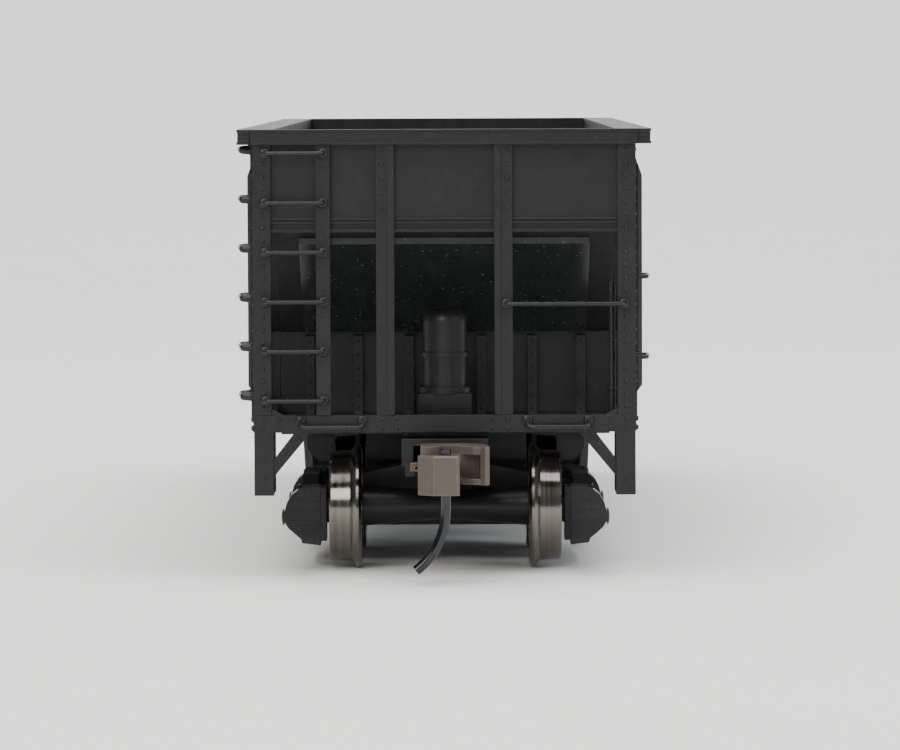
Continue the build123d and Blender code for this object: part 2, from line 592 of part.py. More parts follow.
def knuckle():
    """The swinging jaw: a tall nose in front and a low hub between the head's ears."""
    x, forward = KNUCKLE_PIN
    nose_plan = [(-2.26, -67.5), (1.26, -67.5), (1.26, -69.3), (1.05, -69.5), (-0.92, -69.5), (-2.26, -68.4)]
    nose = prism_z(nose_plan, KNUCKLE_Z)
    top_edges = nose.edges().group_by(Axis.Z)[-1]
    nose = chamfer(top_edges, 0.12)
    neck = prism_z([(x, -65.6), (1.26, -66.2), (1.26, -67.6), (-2.26, -67.6), (-2.26, -forward)], HUB_Z)
    hub = rod_z(x, -forward, HUB_Z, 1.06)
    saddle = prism_z([(-0.2, -66.6), (1.26, -66.6), (1.26, -67.6), (-0.2, -67.6)], (HUB_Z[0], KNUCKLE_Z[1]))
    jaw = nose + neck + hub + saddle
    jaw -= rod_z(x, -forward, (5, 15), 0.44)
    return jaw - rod_z(TRIP_X, TRIP_Y, (5, 15), TRIP_R + 0.02)


TRIP_X = 0.10
TRIP_Y = -68.1
TRIP_R = 0.43


def trip_pin():
    """The curved steel pin through the knuckle, ending just above the rails."""
    bend_r = 6.6
    sweep_angle = radians(52)
    knee_z = 6.5
    straight = Line((TRIP_X, TRIP_Y, 11.55), (TRIP_X, TRIP_Y, knee_z))
    middle = sweep_angle / 2
    arc = ThreePointArc(
        (TRIP_X, TRIP_Y, knee_z),
        (TRIP_X - bend_r * (1 - cos(middle)), TRIP_Y, knee_z - bend_r * sin(middle)),
        (TRIP_X - bend_r * (1 - cos(sweep_angle)), TRIP_Y, knee_z - bend_r * sin(sweep_angle)))
    section = Plane(origin=(TRIP_X, TRIP_Y, 11.55), z_dir=(0, 0, -1)) * Circle(TRIP_R)
    return sweep(section, path=Wire([straight, arc]))


def knuckle_spring():
    """The fine coil beside the head that holds the knuckle shut."""
    coil = Helix(pitch=0.22, height=1.4, radius=0.20)
    section = Plane(origin=coil @ 0, z_dir=coil % 0) * Circle(0.06)
    return Pos(-2.36, -63.66, 9.7) * Rot(90, 0, 0) * sweep(section, path=coil)


def screw(x, y, seat_z, tip_z, radius, head_radius, head_height):
    """A slotted pan-head screw driven upward from a seat."""
    shank = rod_z(x, y, (seat_z - 0.1, tip_z), radius)
    head = rod_z(x, y, (seat_z - head_height, seat_z), head_radius)
    slot = block((x - head_radius, x + head_radius), (y - 0.14, y + 0.14),
                 (seat_z - head_height - 1, seat_z - head_height + 0.3))
    return shank + head - slot


# --- Trucks ----------------------------------------------------------------

def side_frame():
    """The left cast side frame of a truck, about the truck's own centre."""
    outline = [(-8.2, 5.0), (-8.0, 6.5), (-4.4, 7.8), (4.4, 7.8), (8.0, 6.5), (8.2, 5.0), (7.6, 3.4),
               (3.9, 1.95), (-3.9, 1.95), (-7.6, 3.4)]
    plate = prism_x(outline, (-FRAME_X[1], -FRAME_X[0]))
    window = prism_x([(-2.5, 2.7), (2.5, 2.7), (2.5, 6.6), (-2.5, 6.6)], (-20, -5))
    plate -= window
    for end in (-1, 1):
        hole = [(end * 3.7, 3.0), (end * 6.9, 4.1), (end * 6.9, 5.4), (end * 3.7, 6.4)]
        plate -= prism_x(hole, (-20, -5))
    for end in (-1, 1):
        for x in (3.15, 7.45):
            plate += block((-FLANGE_OUT, -FRAME_X[1] + 0.1), (end * x - 0.25, end * x + 0.25), (3.6, 6.2))
    top_flange = prism_x([(-8.0, 6.1), (-4.4, 7.35), (4.4, 7.35), (8.0, 6.1), (8.0, 6.5), (4.4, 7.8),
                          (-4.4, 7.8), (-8.0, 6.5)], (-FLANGE_OUT, -FRAME_X[1] + 0.1))
    bottom_flange = prism_x([(-7.6, 3.4), (-3.9, 1.95), (3.9, 1.95), (7.6, 3.4), (7.6, 3.85),
                             (3.9, 2.4), (-3.9, 2.4), (-7.6, 3.85)], (-FLANGE_OUT, -FRAME_X[1] + 0.1))
    plate += top_flange + bottom_flange
    for end in (-1, 1):
        plate += journal_box(end * WHEELBASE / 2)
    for y in (-1.45, 0, 1.45):
        plate += rod_z(-sum(FRAME_X) / 2, y, (2.35, 4.15), 0.52)
    for end in (-1, 1):
        plate -= journal_socket(end * WHEELBASE / 2)
    return plate


def journal_box(y):
    """An axle box: sloped lid above, tapered underside, open behind for the axle's end."""
    profile = [(-10.9, 2.05), (-12.5, 2.25), (-12.6, 2.60), (-13.7, 3.55), (-14.15, 4.25), (-14.15, 4.60),
               (-13.85, 5.70), (-13.45, 6.40), (-12.6, 7.10), (-10.9, 7.20)]
    return prism_y(profile, (y - JOURNAL_HALF, y + JOURNAL_HALF))


def journal_socket(y):
    """The conical pocket that the axle's pointed end runs in."""
    socket = Cone(1.02, 0.20, 2.1, align=(Align.CENTER, Align.CENTER, Align.MIN))
    mouth = rod_x((-10.95, -10.5), y, AXLE_Z, 1.02)
    return Pos(-10.9, y, AXLE_Z) * Rot(0, -90, 0) * socket + mouth


def truck_bolster():
    """The cross beam between the side frames, with the centre bowl and kingpin hole."""
    inner = FRAME_X[0] - GAP
    beam = prism_y([(-inner, 4.2), (-7.0, 3.1), (7.0, 3.1), (inner, 4.2), (inner, 6.9), (4.0, 8.4),
                    (-4.0, 8.4), (-inner, 6.9)], (-BOLSTER_HALF, BOLSTER_HALF))
    tips = block((-12.5, 12.5), (-BOLSTER_HALF, BOLSTER_HALF), (4.3, 6.4))
    bowl = rod_z(0, 0, (8.3, BOWL_TOP), 2.6)
    bolster = beam + tips + bowl
    bolster -= rod_z(0, 0, (0, 6.4), 2.0)
    return bolster - rod_z(0, 0, (5, 12), KINGPIN_R + 0.08)


def brake_beams():
    """The two beams between the wheels of a truck, each with a shoe behind each tread."""
    ends = FRAME_X[0] - GAP
    beam = block((-ends, ends), (-3.85, -3.1), (4.3, 5.2))
    shoe = block((-9.9, -8.5), (-4.4, -3.8), (3.5, 6.2))
    beam += pair(shoe)
    return beam + Rot(0, 0, 180) * beam


# --- Wheelsets -------------------------------------------------------------

def axle():
    """A moulded axle, waisted at the middle, stepped for the wheels and pointed at the ends."""
    seat = BACK_TO_BACK / 2
    outer = seat + WHEEL_W
    profile = [(0, 0), (0, 1.30), (1.5, 1.32), (seat - 0.05, 1.80), (seat - 0.05, 1.0), (outer + 0.1, 1.0),
               (outer + 0.1, 0.90), (10.75, 0.90), (12.85, 0.12), (12.85, 0)]
    half = revolve(Plane.XY * make_face(Polyline(*profile, close=True)), axis=Axis.X)
    return half + mirror(half, about=Plane.YZ)


def wheel_pair():
    """Two turned wheels on one axle, flanges inward."""
    seat = BACK_TO_BACK / 2
    tip_r = TREAD_R + FLANGE_H
    rim = [(seat, 1.02), (seat, 1.95), (seat + 0.35, 2.1), (seat + 0.35, 3.7), (seat, 3.85),
           (seat, tip_r - 0.25), (seat + 0.22, tip_r), (seat + 0.46, tip_r), (seat + 0.72, tip_r - 0.3),
           (seat + 0.95, TREAD_R + 0.04), (seat + WHEEL_W - 0.15, TREAD_R - 0.06),
           (seat + WHEEL_W, TREAD_R - 0.2), (seat + WHEEL_W, 4.0), (seat + 1.9, 3.8), (seat + 1.9, 2.0),
           (seat + WHEEL_W, 1.75), (seat + WHEEL_W, 1.02)]
    wheel = revolve(make_face(Polyline(*rim, close=True)), axis=Axis.X)
    return pair(wheel)


# --- Assembly --------------------------------------------------------------

def at_truck(shape):
    return Pos(0, -TRUCK_Y, 0) * shape


nodes = {
    "side_left": side(),
    "centre_ridge": cross_ridge(),
    "underframe": underframe(),
    "side_ladder_left": side_ladder(),
    "brake_cylinder": brake_cylinder(),
    "air_reservoir": air_reservoir(),
    "control_valve": control_valve(),
    "brake_rods": brake_rods(),
    "brake_housing": brake_housing(),
    "brake_wheel": brake_wheel(),
}
nodes["side_right"] = turned(nodes["side_left"])
nodes["side_ladder_right"] = turned(nodes["side_ladder_left"])

truck_frame = side_frame()
end_pieces = {
    "end": end_frame(),
    "end_sill": end_sill(),
    "slope_sheet": slope_sheet(),
    "weight": weight(),
    "bulkhead": bolster_bulkhead(),
    "hopper_bay": hopper_bay(),
    "doors": doors(),
    "end_ladder": end_ladder(),
    "grab_irons": grab_irons(),
    "draft_box": draft_box(),
    "draft_lid": draft_lid(),
    "centring_spring": centring_spring(),
    "coupler": coupler(),
    "knuckle": knuckle(),
    "trip_pin": trip_pin(),
    "knuckle_spring": knuckle_spring(),
    "side_frames": at_truck(pair(truck_frame)),
    "truck_bolster": at_truck(truck_bolster()),
    "brake_beams": at_truck(brake_beams()),
}
for name, shape in end_pieces.items():
    nodes[name + "_a"] = shape
    nodes[name + "_b"] = turned(shape)

box_screw = screw(0, -PIVOT_Y, DRAFT_Z[0], 12.25, 0.45, 0.95, 0.5)
nodes["box_screws"] = box_screw + turned(box_screw)
kingpin = screw(0, -TRUCK_Y, 6.3, 11.9, KINGPIN_R, 1.6, 0.9)
nodes["kingpins"] = kingpin + turned(kingpin)

axle_places = [-TRUCK_Y - WHEELBASE / 2, -TRUCK_Y + WHEELBASE / 2,
               TRUCK_Y - WHEELBASE / 2, TRUCK_Y + WHEELBASE / 2]
for number, y in enumerate(axle_places, start=1):
    nodes[f"axle_{number}"] = Pos(0, y, AXLE_Z) * axle()
    nodes[f"wheels_{number}"] = Pos(0, y, AXLE_Z) * wheel_pair()

os.makedirs("parts", exist_ok=True)
for name, shape in nodes.items():
    export_step(shape, f"parts/{name}.step")
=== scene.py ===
import json
from math import cos, pi, radians, sin, tan

import bpy
from mathutils import Matrix, Vector


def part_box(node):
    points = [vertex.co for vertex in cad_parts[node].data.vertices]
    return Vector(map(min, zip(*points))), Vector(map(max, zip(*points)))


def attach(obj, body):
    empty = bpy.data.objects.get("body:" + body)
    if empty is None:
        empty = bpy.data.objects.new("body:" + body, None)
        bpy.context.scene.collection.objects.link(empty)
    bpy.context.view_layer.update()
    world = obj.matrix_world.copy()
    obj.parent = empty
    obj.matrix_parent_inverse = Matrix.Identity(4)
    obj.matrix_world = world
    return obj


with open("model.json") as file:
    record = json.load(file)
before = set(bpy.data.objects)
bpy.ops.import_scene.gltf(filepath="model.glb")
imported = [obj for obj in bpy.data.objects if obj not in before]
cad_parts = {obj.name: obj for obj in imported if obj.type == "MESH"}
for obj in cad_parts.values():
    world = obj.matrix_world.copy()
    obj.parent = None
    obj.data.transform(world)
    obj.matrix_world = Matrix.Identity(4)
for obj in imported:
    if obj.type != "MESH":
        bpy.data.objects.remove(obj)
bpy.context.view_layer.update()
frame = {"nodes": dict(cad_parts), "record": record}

MM = 0.001

# Viewpoint: a long lens a little above the rim, looking along the car from its A end
EYE = Vector((1.512, -512.35, 42.681)) * MM
LENS = 212.0
SENSOR = 36.0
PITCH = radians(3.2072)
YAW = radians(0.1341)
ROLL = radians(-0.2239)

# The CAD's own sizes that the details repeat, in mm
END_Y = 60.5
INNER_Y = 59.15
SIDE_OUT = 15.65
POST_OUT = 16.35
CHORD_OUT = 17.60
RIM_TOP = 38.34
RIM_BOTTOM = 37.06
SILL_TOP = 13.93
SILL_BOTTOM = 12.47
RIB_PITCH = 43.0 / 3
RIB_W = 1.7
BULKHEAD_Y = 43.0
END_SHEET_BOTTOM = 29.57
SLOPE_START_Z = 29.64
SLOPE_RUN = tan(radians(30))
RUNG_Z = [15.21 + 4.224 * count for count in range(6)]
SIDE_RUNG_LIFT = 0.25
TRUCK_Y = 40.9
WHEELBASE = 19.2

# Faces and rows that the details sit on, in mm
CORNER_ROW_X = 15.5           # rivets up a corner post
CENTRE_ROW_X = 5.35           # rivets up a centre post
STIFFENER_Y = BULKHEAD_Y + 0.8  # face of the bulkhead's stiffeners
GRAB_Z = 23.44                # the grab iron across the end
SILL_GRAB_Z = 13.5            # the grab irons on the end sill
SIDE_RUNG_FEET = ((16.37, 58.45), (16.60, 54.60))
SPRING_X = 11.7               # middle of a truck's spring group
FRAME_BOLT_X = 12.6           # outer face of a truck's side frame
BOX_IN_X = 10.98              # inner end of the strips round an axle box
COLLAR_X = (10.38, 10.95)     # the collar between an axle box and its wheel
SMALL_RIVET = 0.17
SMALL_RIVET_SIDES = 6


# --- Shader helpers ---------------------------------------------------------

class Shader:
    """A material with short calls for the nodes that the surfaces here share."""

    def __init__(self, name):
        self.material = bpy.data.materials.new(name)
        self.material.use_nodes = True
        self.tree = self.material.node_tree
        self.surface = self.tree.nodes["Principled BSDF"]
        self.place = self.tree.nodes.new("ShaderNodeTexCoord").outputs["Object"]

    def node(self, kind, **settings):
        made = self.tree.nodes.new(kind)
        for key, value in settings.items():
            setattr(made, key, value)
        return made

    def link(self, output, socket):
        self.tree.links.new(output, socket)

    def put(self, socket, value):
        """Sets a shader socket to a constant, or links an output to it."""
        target = self.surface.inputs[socket]
        if isinstance(value, bpy.types.NodeSocket):
            self.link(value, target)
        else:
            target.default_value = value

    def math(self, operation, first, second=None):
        made = self.node("ShaderNodeMath", operation=operation)
        for socket, value in zip(made.inputs, (first, second)):
            if value is None:
                continue
            if isinstance(value, bpy.types.NodeSocket):
                self.link(value, socket)
            else:
                socket.default_value = value
        return made.outputs[0]

    def noise(self, scale, detail, vector=None):
        made = self.node("ShaderNodeTexNoise")
        made.inputs["Scale"].default_value = scale
        made.inputs["Detail"].default_value = detail
        made.inputs["Roughness"].default_value = 0.55
        self.link(vector or self.place, made.inputs["Vector"])
        return made.outputs["Fac"]

    def span(self, value, low, high, to_low=0.0, to_high=1.0):
        """Maps a range of a value to another range, held at its ends."""
        made = self.node("ShaderNodeMapRange")
        self.link(value, made.inputs["Value"])
        limits = {"From Min": low, "From Max": high, "To Min": to_low, "To Max": to_high}
        for socket, number in limits.items():
            made.inputs[socket].default_value = number
        return made.outputs["Result"]

    def mix(self, factor, first, second):
        made = self.node("ShaderNodeMix", data_type="RGBA")
        sockets = {"Factor": factor, "A": first, "B": second}
        for socket in made.inputs:
            if socket.name not in sockets or not socket.enabled:
                continue
            value = sockets.pop(socket.name)
            if isinstance(value, bpy.types.NodeSocket):
                self.link(value, socket)
            elif socket.name == "Factor":
                socket.default_value = value
            else:
                socket.default_value = (*value, 1.0)
        return [out for out in made.outputs if out.enabled][0]

    def bump(self, height, strength, distance, normal=None):
        made = self.node("ShaderNodeBump")
        made.inputs["Strength"].default_value = strength
        made.inputs["Distance"].default_value = distance
        self.link(height, made.inputs["Height"])
        if normal is not None:
            self.link(normal, made.inputs["Normal"])
        return made.outputs["Normal"]

    def soft_edges(self, radius):
        """A normal that rounds every sharp edge by a radius."""
        made = self.node("ShaderNodeBevel", samples=4)
        made.inputs["Radius"].default_value = radius
        return made.outputs["Normal"]

    def edge_mask(self, radius):
        """One on sharp edges and zero on flat faces."""
        true_normal = self.node("ShaderNodeNewGeometry").outputs["Normal"]
        dot = self.node("ShaderNodeVectorMath", operation="DOT_PRODUCT")
        self.link(self.soft_edges(radius), dot.inputs[0])
        self.link(true_normal, dot.inputs[1])
        return self.span(dot.outputs["Value"], 0.995, 0.90)

    def facing_up(self):
        """One on faces that look up, where dust settles."""
        normal = self.node("ShaderNodeNewGeometry").outputs["Normal"]
        parts = self.node("ShaderNodeSeparateXYZ")
        self.link(normal, parts.inputs[0])
        return self.span(parts.outputs["Z"], 0.45, 0.95)


def moulded_plastic(name, colour, roughness, dust=0.25, edge=0.06 * MM):
    """Satin moulded plastic: faint mottling, fine grain, dust specks, soft edges, and sharp edges painted
    lighter, partly as wear and partly as a painted highlight.
    """
    shader = Shader(name)
    dark = tuple(c * 0.80 for c in colour)
    light = tuple(min(1.0, c * 1.25) for c in colour)
    mottle = shader.mix(shader.noise(260, 5), dark, light)
    # Sharp edges painted lighter: partly real wear, partly a painted highlight that stands in for light
    # catching the edges.
    worn_and_highlit_edges = shader.mix(shader.math("MULTIPLY", shader.edge_mask(edge), 0.55), mottle,
                      tuple(c * 2.2 + 0.01 for c in colour))
    specks = shader.span(shader.noise(4200, 2), 0.66, 0.72)
    settled = shader.math("MULTIPLY", specks, shader.math("ADD", shader.facing_up(), 0.18))
    dusty = shader.mix(shader.math("MULTIPLY", settled, dust), worn_and_highlit_edges, (0.36, 0.34, 0.31))
    shader.put("Base Color", dusty)
    shader.put("Roughness", shader.span(shader.noise(900, 4), 0.3, 0.7, roughness - 0.07, roughness + 0.09))
    shader.put("Specular IOR Level", 0.30)
    shader.put("Normal", shader.bump(shader.noise(7000, 3), 0.22, 0.012 * MM, shader.soft_edges(edge)))
    return shader.material


def turned_metal(name, axle_y, axle_z):
    """Bright nickel turned in a lathe: fine rings round the axle's line."""
    shader = Shader(name)
    shift = shader.node("ShaderNodeVectorMath", operation="SUBTRACT")
    shader.link(shader.place, shift.inputs[0])
    shift.inputs[1].default_value = (0, axle_y, axle_z)
    parts = shader.node("ShaderNodeSeparateXYZ")
    shader.link(shift.outputs[0], parts.inputs[0])
    squares = shader.math("ADD", shader.math("MULTIPLY", parts.outputs["Y"], parts.outputs["Y"]),
                          shader.math("MULTIPLY", parts.outputs["Z"], parts.outputs["Z"]))
    radius = shader.math("SQRT", squares)
    lathe = shader.node("ShaderNodeCombineXYZ")
    shader.link(shader.math("ADD", radius, parts.outputs["X"]), lathe.inputs[0])
    rings = shader.noise(16000, 2, vector=lathe.outputs[0])
    broad = shader.noise(2600, 3, vector=lathe.outputs[0])
    colour = shader.mix(broad, (0.080, 0.073, 0.063), (0.235, 0.216, 0.190))
    soil = shader.span(shader.noise(600, 5), 0.62, 0.78)
    shader.put("Base Color", shader.mix(shader.math("MULTIPLY", soil, 0.55), colour, (0.16, 0.12, 0.09)))
    shader.put("Metallic", 1.0)
    shader.put("Roughness", shader.span(broad, 0.3, 0.7, 0.10, 0.24))
    shader.put("Anisotropic", 0.4)
    shader.put("Normal", shader.bump(rings, 0.35, 0.010 * MM, shader.soft_edges(0.05 * MM)))
    return shader.material


def worn_brown(name):
    """Thin brown paint on a cast coupler: greyer on the faces, tan where edges have worn."""
    shader = Shader(name)
    face = shader.mix(shader.noise(900, 4), (0.064, 0.051, 0.041), (0.104, 0.083, 0.069))
    tan_edge = shader.mix(shader.noise(1500, 3), (0.20, 0.110, 0.062), (0.27, 0.170, 0.110))
    edges = shader.edge_mask(0.16 * MM)
    shader.put("Base Color", shader.mix(shader.math("MULTIPLY", edges, 0.75), face, tan_edge))
    shader.put("Metallic", 0.25)
    shader.put("Roughness", shader.span(shader.noise(1200, 4), 0.3, 0.7, 0.40, 0.58))
    shader.put("Normal", shader.bump(shader.noise(5200, 4), 0.45, 0.03 * MM, shader.soft_edges(0.10 * MM)))
    return shader.material


def dark_steel(name, colour, roughness):
    """Polished or blackened steel with faint draw marks."""
    shader = Shader(name)
    shader.put("Base Color", shader.mix(shader.noise(1500, 3), tuple(c * 0.75 for c in colour), colour))
    shader.put("Metallic", 1.0)
    shader.put("Roughness", shader.span(shader.noise(2400, 3), 0.3, 0.7, roughness, roughness + 0.12))
    shader.put("Normal", shader.bump(shader.noise(6000, 2), 0.15, 0.008 * MM, shader.soft_edges(0.04 * MM)))
    return shader.material


def glossy_black(name):
    """A painted steel plate: wet-looking black with dust lying on it."""
    shader = Shader(name)
    specks = shader.span(shader.noise(2600, 3), 0.68, 0.74)
    haze = shader.math("MULTIPLY", shader.noise(420, 5), 0.10)
    dust = shader.math("ADD", shader.math("MULTIPLY", specks, 0.30), haze)
    shader.put("Base Color", shader.mix(dust, (0.006, 0.009, 0.009), (0.20, 0.22, 0.20)))
    shader.put("Roughness", shader.span(specks, 0.0, 1.0, 0.16, 0.6))
    shader.put("Normal", shader.bump(shader.noise(700, 3), 0.12, 0.02 * MM, shader.soft_edges(0.08 * MM)))
    return shader.material


def bronze(name):
    shader = Shader(name)
    shader.put("Base Color", shader.mix(shader.noise(1500, 3), (0.16, 0.09, 0.045), (0.26, 0.16, 0.085)))
    shader.put("Metallic", 1.0)
    shader.put("Roughness", 0.32)
    shader.put("Normal", shader.bump(shader.noise(6000, 2), 0.15, 0.008 * MM))
    return shader.material


MATERIALS = {
    "body_plastic": moulded_plastic("body_plastic", (0.0120, 0.0110, 0.0118), 0.37),
    "detail_plastic": moulded_plastic("detail_plastic", (0.0135, 0.0123, 0.0130), 0.31, edge=0.04 * MM),
    "truck_plastic": moulded_plastic("truck_plastic", (0.0170, 0.0163, 0.0168), 0.42, dust=0.30),
    "axle_plastic": moulded_plastic("axle_plastic", (0.0070, 0.0075, 0.0080), 0.34, dust=0.12),
    "coupler_metal": worn_brown("coupler_metal"),
    "pin_steel": dark_steel("pin_steel", (0.055, 0.056, 0.060), 0.10),
    "screw_steel": dark_steel("screw_steel", (0.24, 0.24, 0.25), 0.32),
    "spring_bronze": bronze("spring_bronze"),
    "weight_steel": glossy_black("weight_steel"),
}
SLOT_OF = {part["node"]: part["material_slot"] for part in frame["record"]["subparts"]}


def dress_frame():
    """Gives every CAD piece its finish; each pair of wheels turns about its own axle."""
    for node, piece in frame["nodes"].items():
        slot = SLOT_OF[node]
        if slot == "wheel_metal":
            low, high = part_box(node)
            finish = turned_metal(f"wheel_metal_{node}", (low[1] + high[1]) / 2, (low[2] + high[2]) / 2)
        else:
            finish = MATERIALS[slot]
        piece.data.materials.clear()
        piece.data.materials.append(finish)


# --- Small fixed details, in mm ---------------------------------------------

class Trim:
    """Small details that share a body and a finish, gathered into one mesh."""

    def __init__(self):
        self.vertices = []
        self.faces = []
        self.smooth = []

    def add(self, points, faces, smooth=False):
        start = len(self.vertices)
        self.vertices += [tuple(point) for point in points]
        self.faces += [[start + index for index in face] for face in faces]
        self.smooth += [smooth] * len(faces)

    def strip(self, low, high):
        """A square-edged strip between two opposite corners."""
        points = [(x, y, z) for x in (low[0], high[0]) for y in (low[1], high[1]) for z in (low[2], high[2])]
        self.add(points, [(0, 1, 3, 2), (4, 6, 7, 5), (0, 4, 5, 1), (2, 3, 7, 6), (0, 2, 6, 4), (1, 5, 7, 3)])

    def lathe(self, base, axis, profile, sides):
        """A turned shape: (radius, height) steps along an axis from its base."""
        base = Vector(base)
        turn = Vector(axis).to_track_quat("Z", "Y")
        points = []
        for radius, height in profile:
            for count in range(sides):
                angle = 2 * pi * count / sides
                points.append(base + turn @ Vector((radius * cos(angle), radius * sin(angle), height)))
        faces = []
        for low in range(0, len(points) - sides, sides):
            for count in range(sides):
                after = (count + 1) % sides
                faces.append((low + count, low + after, low + sides + after, low + sides + count))
        faces.append(range(len(points) - sides, len(points)))
        self.add(points, faces, smooth=sides > 6)

    def rivet(self, base, axis, radius=0.19, sides=8):
        dome = [(1.0, -0.2), (0.94, 0.28), (0.62, 0.54), (0.2, 0.62)]
        self.lathe(base, axis, [(radius * r, radius * h) for r, h in dome], sides)

    def bolt(self, base, axis, radius=0.24, height=0.22):
        """A hexagon head on a round washer."""
        self.lathe(base, axis, [(radius * 1.4, -0.02), (radius * 1.4, 0.06)], 12)
        self.lathe(base, axis, [(radius, 0.05), (radius, height * 0.85), (radius * 0.8, height)], 6)

    def ring(self, centre, axis, radius, thickness, sides=16, around=6):
        """A round wire ring about an axis."""
        centre = Vector(centre)
        turn = Vector(axis).to_track_quat("Z", "Y")
        points = []
        for count in range(sides):
            angle = 2 * pi * count / sides
            for step in range(around):
                slant = 2 * pi * step / around
                out = radius + thickness * cos(slant)
                place = Vector((out * cos(angle), out * sin(angle), thickness * sin(slant)))
                points.append(centre + turn @ place)
        faces = []
        for count in range(sides):
            here = count * around
            there = (count + 1) % sides * around
            for step in range(around):
                after = (step + 1) % around
                faces.append((here + step, there + step, there + after, here + after))
        self.add(points, faces, smooth=True)

    def build(self, name, body, slot, turned=False):
        """Makes the mesh on a body, at this end of the car or turned to the other end."""
        flip = -1 if turned else 1
        mesh = bpy.data.meshes.new(name)
        places = [(flip * x * MM, flip * y * MM, z * MM) for x, y, z in self.vertices]
        mesh.from_pydata(places, [], self.faces)
        mesh.polygons.foreach_set("use_smooth", self.smooth)
        mesh.materials.append(MATERIALS[slot])
        piece = bpy.data.objects.new(name, mesh)
        bpy.context.scene.collection.objects.link(piece)
        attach(piece, body)


def steps(start, stop, pitch):
    """Even places from start to stop, as near to a pitch apart as fits."""
    count = max(1, round((stop - start) / pitch))
    return [start + (stop - start) * index / count for index in range(count + 1)]


def slope_z(y):
    """Underside of the slope sheet at a distance from the middle of the car."""
    return SLOPE_START_Z - (INNER_Y - abs(y)) * SLOPE_RUN


def end_details():
    """Rivets on the posts, the sill and the braces, and beads along the rim and the chord tips."""
    out = (0, -1, 0)
    trim = Trim()
    for side in (-1, 1):
        for z in steps(SILL_TOP + 0.7, RIM_BOTTOM - 0.5, 1.09):
            trim.rivet((side * CORNER_ROW_X, -END_Y, z), out)
        for z in steps(END_SHEET_BOTTOM + 0.9, RIM_BOTTOM - 0.5, 1.11):
            trim.rivet((side * CENTRE_ROW_X, -END_Y, z), out)
        for x in (4.1, CENTRE_ROW_X, 14.2, 15.55):
            for z in (SILL_BOTTOM + 0.32, SILL_TOP - 0.32):
                trim.rivet((side * x, -END_Y, z), out)
        trim.strip((side * 4.28, -END_Y - 0.12, SILL_TOP + 0.05), (side * 4.82, -END_Y, RIM_BOTTOM))
        for x, z in ((12.55, 11.95), (14.15, 9.95)):
            trim.rivet((side * x, -END_Y + 0.15, z), out)
        for z in (8.6, 10.1):
            trim.rivet((side * 15.45, -END_Y, z), out)
        for z in (SILL_BOTTOM + 0.35, SILL_TOP - 0.35):
            trim.bolt((side * POST_OUT, -END_Y + 0.65, z), (side, 0, 0))
        for z in (37.32, 37.68, 38.04):
            trim.strip((side * 16.55, -END_Y - 0.07, z), (side * CHORD_OUT, -END_Y, z + 0.13))
    for z in (RIM_BOTTOM, RIM_TOP - 0.2):
        trim.strip((-16.5, -END_Y - 0.43, z), (16.5, -END_Y - 0.35, z + 0.2))
    return trim


def ladder_details():
    """Round bosses at both feet of every rung and of the grab irons on the end."""
    out = (0, -1, 0)
    boss = [(0.46, -0.25), (0.44, 0.04), (0.36, 0.12), (0.2, 0.14)]
    side_boss = [(0.40, 0.0), (0.37, 0.35), (0.33, 0.90), (0.25, 1.12), (0.10, 1.17)]
    trim = Trim()
    for z in RUNG_Z:
        for x, y in SIDE_RUNG_FEET:
            trim.lathe((-x, -y, z + SIDE_RUNG_LIFT), (-1, 0, 0), side_boss, 14)
        trim.lathe((-15.3, -END_Y - 0.25, z), out, boss, 14)
        trim.lathe((-10.34, -END_Y - 0.5, z), out, boss, 14)
    for x in (5.25, 15.3):
        trim.lathe((x, -END_Y - 0.25, GRAB_Z), out, boss, 14)
    for side in (-1, 1):
        for x in (7.05, 12.3):
            trim.lathe((side * x, -END_Y - 0.25, SILL_GRAB_Z), out, boss, 14)
    return trim


def bulkhead_details():
    """Rivets up the stiffeners of the bulkhead, and bolts through its foot."""
    out = (0, -1, 0)
    trim = Trim()
    for side in (-1, 1):
        for x in (3.2, 7.7, 12.0):
            for z in steps(13.5, 19.4, 1.18):
                trim.rivet((side * x, -STIFFENER_Y, z), out, 0.16)
        for x in (5.4, 9.8, 13.6):
            trim.bolt((side * x, -STIFFENER_Y, 12.73), out, 0.17, 0.16)
    return trim


def side_details():
    """Rivets by the ribs and along the sill, chord, corner leg and slope, and the chord's beads."""
    out = (-1, 0, 0)
    trim = Trim()
    for count in range(-3, 4):
        for edge in (-1, 1):
            y = count * RIB_PITCH + edge * (RIB_W / 2 + 0.34)
            foot = SILL_TOP + 0.7 if abs(y) < BULKHEAD_Y else slope_z(y) + 1.5
            for z in steps(foot, RIM_BOTTOM - 1.2, 1.36):
                trim.rivet((-SIDE_OUT, y, z), out, SMALL_RIVET, SMALL_RIVET_SIDES)
    for y in steps(-INNER_Y + 0.6, INNER_Y - 0.6, 1.5):
        trim.rivet((-POST_OUT, y, SILL_TOP - 0.7), out, SMALL_RIVET, SMALL_RIVET_SIDES)
    for y in steps(-INNER_Y + 2.6, INNER_Y - 2.6, 1.5):
        nearest = RIB_PITCH * max(-3, min(3, round(y / RIB_PITCH)))
        if abs(y - nearest) > RIB_W / 2 + 0.9:
            trim.rivet((-SIDE_OUT, y, RIM_BOTTOM - 0.55), out, SMALL_RIVET, SMALL_RIVET_SIDES)
    for end in (-1, 1):
        for z in steps(SILL_TOP + 0.6, RIM_BOTTOM - 0.5, 1.09):
            trim.rivet((-POST_OUT, end * (INNER_Y - 0.2), z), out, SMALL_RIVET, SMALL_RIVET_SIDES)
        for distance in steps(BULKHEAD_Y + 0.7, INNER_Y - 1.7, 1.2):
            height = slope_z(distance) + 0.45
            trim.rivet((-POST_OUT, end * distance, height), out, SMALL_RIVET, SMALL_RIVET_SIDES)
    for z in (RIM_BOTTOM, RIM_TOP - 0.22):
        trim.strip((-CHORD_OUT - 0.08, -END_Y, z), (-CHORD_OUT, END_Y, z + 0.22))
    return trim


